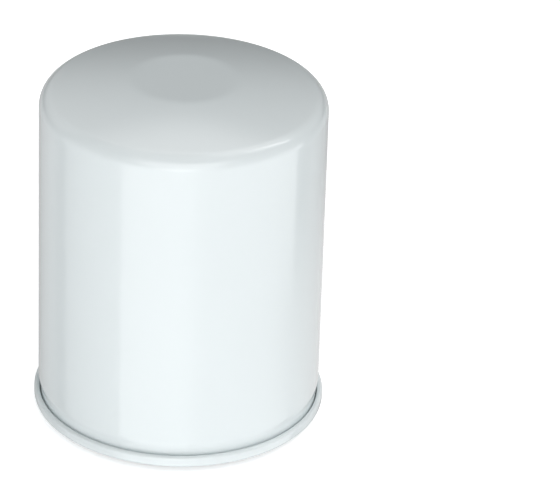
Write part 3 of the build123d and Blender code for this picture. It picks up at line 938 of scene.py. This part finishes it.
def pleat_line():
    """One pleat's centre line across the axis, from root to root, as flat points."""
    half_pitch = math.pi / PLEATS
    fold = half_pitch / 2
    tip = PLEAT_TIP_WIDTH / 2 / PLEAT_OUTER_R
    corner_r = PLEAT_INNER_R / math.cos(fold)
    polar = [
        (PLEAT_INNER_R, -half_pitch),
        (corner_r, fold - half_pitch),
        (PLEAT_OUTER_R, -tip),
        (PLEAT_OUTER_R, tip),
        (corner_r, half_pitch - fold),
        (PLEAT_INNER_R, half_pitch),
    ]
    route = [(r * math.cos(a), r * math.sin(a)) for r, a in polar]
    return with_long_runs_split(route_with_bends(route, PLEAT_BENDS, step=18.0), PLEAT_STEP)


def make_media():
    """Folded paper whose pleats lean and ripple slightly between the two pottings."""
    low, high = node_heights("pleated_media")
    line = pleat_line()
    draws = np.random.default_rng(PLEAT_SEED)
    lean = draws.normal(0.0, 1.0, (PLEATS, 3))
    lean[0] = 0.0
    sides = [
        np.array([tuple(p) for p in shifted(line, offset)][:-1])
        for offset in (PAPER_SHEET / 2, -PAPER_SHEET / 2)
    ]
    levels = np.linspace(0.0, 1.0, MEDIA_ROWS + 1)
    points = []
    for side in sides:
        radius = np.hypot(side[:, 0], side[:, 1])
        angle = np.arctan2(side[:, 1], side[:, 0])
        part_out = (radius - PLEAT_INNER_R) / (PLEAT_OUTER_R - PLEAT_INNER_R)
        belly = np.clip(np.sin(math.pi * np.clip(part_out, 0.0, 1.0)), 0.0, 1.0)
        for level in levels:
            held = math.sin(math.pi * level)
            row = []
            for k in range(PLEATS):
                drift = lean[k, 0] * held + lean[k, 1] * math.sin(2 * math.pi * level)
                drift += 0.5 * lean[k, 2] * math.sin(5 * math.pi * level) * held
                swing = np.clip(drift, -PLEAT_SWING_LIMIT, PLEAT_SWING_LIMIT) * PLEAT_SWING * belly
                turn = angle + swing + 2 * math.pi * k / PLEATS
                row.append(np.stack((
                    radius * np.cos(turn),
                    radius * np.sin(turn),
                    np.full_like(radius, low + (high - low) * level),
                ), axis=1))
            points.append(np.concatenate(row))
    columns = len(points[0])
    rows = MEDIA_ROWS + 1
    faces = grid_faces(rows, columns, 0, False) + grid_faces(rows, columns, rows * columns, False)
    for row in (0, rows - 1):
        a = row * columns
        b = a + rows * columns
        for j in range(columns):
            n = (j + 1) % columns
            faces.append((a + j, a + n, b + n, b + j))
    media = face_outwards(build("paper_pleats", np.concatenate(points), faces, PAPER))
    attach(media, "filter_body")
    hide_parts("pleated_media")


# ---- materials of the CAD nodes that stay ----------------------------------------------------

KEPT = {
    "seam_sealant": SEALANT,
    "lower_end_cap": CAP_STEEL,
    "upper_end_cap": CAP_STEEL,
    "lower_potting": POTTING,
    "upper_potting": POTTING,
    "centre_tube": CAP_STEEL,
    "media_seam_clip": CAP_STEEL,
    "bypass_cage": CAP_STEEL,
    "bypass_retainer": CAP_STEEL,
    "bypass_seat_plate": CAP_STEEL,
    "bypass_poppet": NYLON,
    "bypass_seal": VALVE_RUBBER,
    "element_spring": SPRING_STEEL,
}


def dress_cad_nodes():
    """Give each CAD node that stays its finished material."""
    for name, material in KEPT.items():
        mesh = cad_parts[name].data
        mesh.materials.clear()
        mesh.materials.append(material)


# ---- stage, light and camera -----------------------------------------------------------------

FLOOR_COLOUR = (0.86, 0.87, 0.88)
FLOOR_GLOW = 0.52
FLOOR_HALF_SIDE = 4.0
BACKDROP = 1.0

# Studio lights as soft-edged patches of the surround. Each has the compass angle of its middle
# (0 is in front, 90 to the right), half its width at the foot and at the head, its lowest and
# highest elevation, the width of the soft edge across and up, and its brightness. Degrees.
PANELS = (
    ("overhead", 0.0, 181.0, 181.0, 60.0, 200.0, 1.0, 30.0, 0.77),
    ("front_fill", 0.0, 105.0, 105.0, -12.0, 62.0, 50.0, 20.0, 0.30),
    ("key", 1.0, 5.0, 46.0, -22.0, 38.0, 16.0, 9.0, 1.63),
    ("rear_strip", 180.0, 35.0, 35.0, 47.0, 74.0, 25.0, 10.0, 1.12),
    ("right_fill", 112.0, 36.0, 36.0, 45.0, 78.0, 24.0, 12.0, 0.9),
    ("right_strip", 106.0, 4.0, 4.0, 36.0, 62.0, 2.0, 2.0, 4.8),
    ("crown_left", -137.0, 28.0, 28.0, 7.0, 48.0, 20.0, 14.0, 0.5),
    ("crown_right", 141.0, 26.0, 26.0, 7.0, 46.0, 20.0, 14.0, 0.34),
    ("table_front", -17.0, 30.0, 30.0, -90.0, -3.0, 3.0, 10.0, 1.4),
    ("table_right", 59.0, 46.0, 46.0, -90.0, -3.0, 3.0, 10.0, 1.0),
    ("table_left", -75.5, 28.5, 28.5, -90.0, -3.0, 3.0, 10.0, 0.33),
    ("table_rear", 180.0, 62.0, 62.0, -90.0, -3.0, 24.0, 10.0, 0.48),
)


def make_floor():
    """A large pale floor at the gasket's face, which glows a little like a light table.

    Reflections don't show it: the table panels of the surround stand for it there.
    """
    material, tree, shader = new_material("floor_white", FLOOR_COLOUR, 0.9)
    shader.inputs["Emission Color"].default_value = (1.0, 1.0, 1.0, 1)
    shader.inputs["Emission Strength"].default_value = FLOOR_GLOW
    mesh = bpy.data.meshes.new("floor")
    side = FLOOR_HALF_SIDE
    corners = [(-side, -side, 0), (side, -side, 0), (side, side, 0), (-side, side, 0)]
    mesh.from_pydata(corners, [], [(0, 1, 2, 3)])
    mesh.materials.append(material)
    floor = bpy.data.objects.new("floor", mesh)
    bpy.context.scene.collection.objects.link(floor)
    floor.visible_glossy = False


def calculate(tree, operation, *values):
    """A Math node fed with numbers or sockets."""
    node = tree.nodes.new("ShaderNodeMath")
    node.operation = operation
    for socket, value in zip(node.inputs, values):
        if isinstance(value, (int, float)):
            socket.default_value = value
        else:
            tree.links.new(value, socket)
    return node.outputs[0]


def soft_step(tree, value, middle, width):
    """0 below the middle and 1 above it, with a smooth change over the width."""
    node = tree.nodes.new("ShaderNodeMapRange")
    node.interpolation_type = "SMOOTHSTEP"
    node.inputs["From Min"].default_value = middle - width / 2
    node.inputs["From Max"].default_value = middle + width / 2
    tree.links.new(value, node.inputs["Value"])
    return node.outputs["Result"]


def compass_angle(tree, x, y):
    """Degrees round the axis: 0 in front, 90 to the right."""
    return calculate(
        tree, "DEGREES", calculate(tree, "ARCTAN2", x, calculate(tree, "MULTIPLY", y, -1.0)),
    )


def make_world():
    """Soft studio surround made of the panels, and a plain pale backdrop for the camera."""
    world = bpy.data.worlds.new("studio")
    bpy.context.scene.world = world
    world.use_nodes = True
    tree = world.node_tree
    background = next(n for n in tree.nodes if n.type == "BACKGROUND")
    direction = tree.nodes.new("ShaderNodeSeparateXYZ")
    tree.links.new(tree.nodes.new("ShaderNodeTexCoord").outputs["Generated"], direction.inputs[0])
    x, y, z = direction.outputs
    compass = compass_angle(tree, x, y)
    height = calculate(tree, "DEGREES", calculate(tree, "ARCSINE", z))
    light = 0.0
    for _, middle, foot, head, low, high, edge, rise, power in PANELS:
        aside = calculate(tree, "SUBTRACT", compass, middle)
        aside = calculate(tree, "WRAP", aside, 180.0, -180.0)
        half = between(tree, height, foot, head, low, high)
        past_edge = calculate(tree, "SUBTRACT", calculate(tree, "ABSOLUTE", aside), half)
        across = calculate(tree, "SUBTRACT", 1.0, soft_step(tree, past_edge, 0.0, edge))
        above = soft_step(tree, height, low, rise)
        below = calculate(tree, "SUBTRACT", 1.0, soft_step(tree, height, high, rise))
        patch = calculate(tree, "MULTIPLY", calculate(tree, "MULTIPLY", above, below), across)
        light = calculate(tree, "MULTIPLY_ADD", patch, power, light)
    shown = tree.nodes.new("ShaderNodeMix")
    shown.data_type = "FLOAT"
    rays = tree.nodes.new("ShaderNodeLightPath")
    tree.links.new(rays.outputs["Is Camera Ray"], shown.inputs["Factor"])
    tree.links.new(light, shown.inputs["A"])
    shown.inputs["B"].default_value = BACKDROP
    tree.links.new(shown.outputs["Result"], background.inputs["Color"])
    background.inputs["Strength"].default_value = 1.0


# The card's line is (radius, height) in millimetres. It is turned over the span of compass angles,
# fades in over the first of them, and fades out above a height.
CARD_LINE = ((41.0, 0.3), (58.0, 0.3), (62.0, 4.0), (62.0, 38.0), (62.0, 72.0))
CARD_SPAN = (56.0, 156.0)
CARD_SIDE_FADE = 22.0
CARD_FADE_Z = 42.0
CARD_FADE = 52.0
CARD_GLOW = 0.76
CARD_COLUMNS = 33


def make_bounce_card():
    """A curved pale card low on the right, which lifts the shade at the foot of the wall.

    The camera doesn't see it.
    """
    angles = np.radians(np.linspace(*CARD_SPAN, CARD_COLUMNS)) - math.pi / 2
    rows = turn_grid(CARD_LINE, angles)
    count = len(angles)
    faces = [
        (a + k, a + k + 1, a + count + k + 1, a + count + k)
        for a in range(0, (len(rows) - 1) * count, count)
        for k in range(count - 1)
    ]
    material = bpy.data.materials.new("bounce_card")
    material.use_nodes = True
    tree = material.node_tree
    tree.nodes.clear()
    split = tree.nodes.new("ShaderNodeSeparateXYZ")
    tree.links.new(coordinates(tree), split.inputs[0])
    x, y, z = split.outputs
    compass = compass_angle(tree, x, y)
    across = soft_step(tree, compass, CARD_SPAN[0] + CARD_SIDE_FADE / 2, CARD_SIDE_FADE)
    above = soft_step(tree, z, CARD_FADE_Z * MM, CARD_FADE * MM)
    strength = calculate(tree, "MULTIPLY", across, calculate(tree, "SUBTRACT", 1.0, above))
    glow = tree.nodes.new("ShaderNodeEmission")
    glow.inputs["Strength"].default_value = CARD_GLOW
    clear = tree.nodes.new("ShaderNodeBsdfTransparent")
    blend = tree.nodes.new("ShaderNodeMixShader")
    tree.links.new(strength, blend.inputs["Fac"])
    tree.links.new(clear.outputs[0], blend.inputs[1])
    tree.links.new(glow.outputs[0], blend.inputs[2])
    output = tree.nodes.new("ShaderNodeOutputMaterial")
    tree.links.new(blend.outputs[0], output.inputs["Surface"])
    card = build("bounce_card", rows.reshape(-1, 3), faces, material)
    card.visible_camera = False


CAMERA_ELEVATION = 28.65
CAMERA_ROLL = 1.95
CAMERA_DISTANCE = 1.0688
CAMERA_TARGET_Z = 46.2
CAMERA_ASIDE = (-26.42, 0.95)
SENSOR_WIDTH = 36.0
FOCAL_PER_WIDTH = (4000, 560)


def make_camera():
    """Long lens at the height and turn that show the dome and the seam together."""
    elevation = math.radians(CAMERA_ELEVATION)
    roll = math.radians(CAMERA_ROLL)
    forward = Vector((0.0, math.cos(elevation), -math.sin(elevation)))
    level = Vector((1.0, 0.0, 0.0))
    upright = level.cross(forward)
    right = level * math.cos(roll) + upright * math.sin(roll)
    up = upright * math.cos(roll) - level * math.sin(roll)
    target = Vector((0.0, 0.0, CAMERA_TARGET_Z)) * MM
    aside = (CAMERA_ASIDE[0] * right + CAMERA_ASIDE[1] * up) * MM
    place = target - aside - forward * CAMERA_DISTANCE
    data = bpy.data.cameras.new("camera")
    data.sensor_width = SENSOR_WIDTH
    data.lens = SENSOR_WIDTH * FOCAL_PER_WIDTH[0] / FOCAL_PER_WIDTH[1]
    data.clip_start = 0.05
    data.clip_end = 20.0
    camera = bpy.data.objects.new("camera", data)
    turn = Matrix((right, up, -forward)).transposed()
    camera.matrix_world = Matrix.Translation(place) @ turn.to_4x4()
    bpy.context.scene.collection.objects.link(camera)
    bpy.context.scene.camera = camera


make_camera()
make_floor()
make_world()
make_bounce_card()
make_can()
make_lid()
make_gasket()
make_plate()
make_anti_drain_valve()
make_bypass_spring()
make_media()
dress_cad_nodes()
bpy.context.scene.view_settings.view_transform = "Standard"
